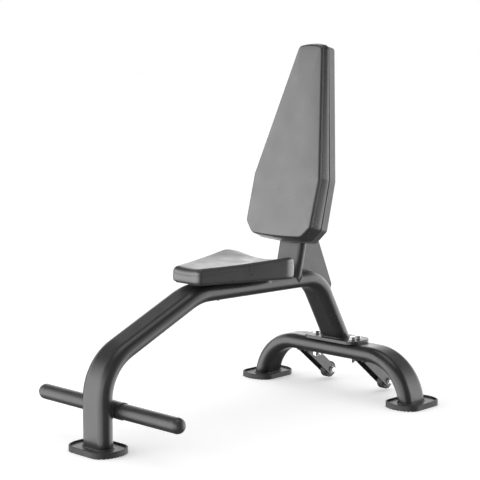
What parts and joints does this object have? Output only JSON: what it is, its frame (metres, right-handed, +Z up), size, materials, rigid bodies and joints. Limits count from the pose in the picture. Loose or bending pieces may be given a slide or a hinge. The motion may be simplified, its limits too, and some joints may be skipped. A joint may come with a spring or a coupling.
{
  "type": "weight bench",
  "caption": "Fixed upright utility weight bench: tapered seat and backrest on a bent flat-oval tube frame, with a footrest bar, rubber feet and transport wheels.",
  "frame": {"origin": "on the floor, at the centre of the bench's outline seen from above", "axes": "+X to the sitter's left across the bench, +Y from the footrest to the backrest, +Z up"},
  "size_m": [0.74, 1.207, 1.1252],
  "materials": {
    "frame_paint": "satin powder coat",
    "foot_steel": "lighter satin paint",
    "foot_rubber": "matte",
    "grip_rubber": "satin",
    "wheel_rubber": "matte",
    "hub_plastic": "matte moulded nylon",
    "black_plastic": "matte",
    "shell_plastic": "fine-grained moulded plastic",
    "upholstery": "grained vinyl",
    "board_paint": "plywood sealed in black",
    "weld_paint": "painted weld bead",
    "thread": "bonded sewing thread",
    "bright_steel": "bright plated",
    "bare_steel": "plain"
  },
  "bodies": {
    "frame": {"main_tube": "frame_paint", "rear_arch_tube": "frame_paint", "rear_leg_flange": "frame_paint", "back_post": "frame_paint", "back_post_cap": "black_plastic", "back_gusset": "frame_paint", "footrest_sleeve": "frame_paint", "footrest_bar": "frame_paint", "footrest_grip_left": "grip_rubber", "footrest_grip_right": "grip_rubber", "flange_bolts": "bright_steel", "flange_washers": "bright_steel", "flange_nuts": "bright_steel", "flange_crush_sleeves": "bare_steel", "back_shell": "shell_plastic", "back_board": "board_paint", "back_cushion": "upholstery", "back_tee_nuts": "bare_steel", "back_bolts": "bright_steel", "back_washers": "bright_steel", "seat_rear_plate": "frame_paint", "seat_front_plate": "frame_paint", "seat_board": "board_paint", "seat_cushion": "upholstery", "seat_tee_nuts": "bare_steel", "seat_bolts": "bright_steel", "seat_washers": "bright_steel", "foot_plate_front": "foot_steel", "foot_boot_front": "foot_rubber", "foot_plate_rear_left": "foot_steel", "foot_boot_rear_left": "foot_rubber", "foot_plate_rear_right": "foot_steel", "foot_boot_rear_right": "foot_rubber", "wheel_bracket_left": "frame_paint", "wheel_sleeve_left": "bare_steel", "wheel_bolt_left": "bright_steel", "wheel_washers_left": "bright_steel", "wheel_nut_left": "bright_steel", "wheel_bracket_right": "frame_paint", "wheel_sleeve_right": "bare_steel", "wheel_bolt_right": "bright_steel", "wheel_washers_right": "bright_steel", "wheel_nut_right": "bright_steel"},
    "wheel_left": {"wheel_tread_left": "wheel_rubber", "wheel_hub_left": "hub_plastic"},
    "wheel_right": {"wheel_tread_right": "wheel_rubber", "wheel_hub_right": "hub_plastic"}
  },
  "joints": [
    {"name": "wheel_left_spin", "type": "hinge", "parent": "frame", "child": "wheel_left", "pos_m": [-0.1217, 0.5765, 0.034], "axis": [1, 0, 0], "continuous": true},
    {"name": "wheel_right_spin", "type": "hinge", "parent": "frame", "child": "wheel_right", "pos_m": [0.1217, 0.5765, 0.034], "axis": [1, 0, 0], "continuous": true}
  ]
}
